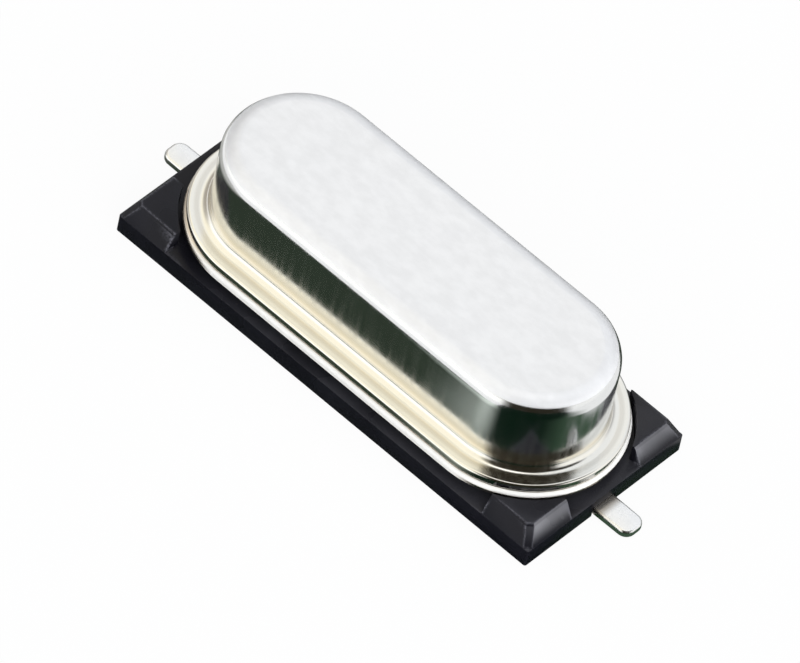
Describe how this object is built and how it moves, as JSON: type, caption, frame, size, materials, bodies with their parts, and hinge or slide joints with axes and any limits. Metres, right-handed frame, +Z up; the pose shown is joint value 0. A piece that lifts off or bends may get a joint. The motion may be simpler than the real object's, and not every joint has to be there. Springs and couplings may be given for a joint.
{
  "type": "crystal oscillator",
  "caption": "Low surface-mount quartz crystal: a drawn metal can with rounded ends, welded to a header on a black moulded insulator with a flat terminal at each end.",
  "frame": {"origin": "middle of the footprint, on the circuit board's face", "axes": "+X along the length, +Y across, +Z up away from the board"},
  "size_m": [0.013, 0.0046, 0.0031],
  "materials": {
    "can_metal": "satin",
    "header_metal": "satin",
    "lead_metal": "satin",
    "clip_metal": "satin",
    "black_moulding": "satin",
    "seal_glass": "glossy",
    "quartz": "glossy",
    "silver_film": "glossy",
    "silver_adhesive": "matte"
  },
  "bodies": {
    "root": {"insulator_base": "black_moulding", "header": "header_metal", "glass_bead_left": "seal_glass", "glass_bead_right": "seal_glass", "lead_left": "lead_metal", "lead_right": "lead_metal", "clip_left": "clip_metal", "clip_right": "clip_metal", "quartz_blank": "quartz", "electrode_upper": "silver_film", "electrode_lower": "silver_film", "adhesive_left": "silver_adhesive", "adhesive_right": "silver_adhesive", "cover": "can_metal"}
  },
  "joints": []
}
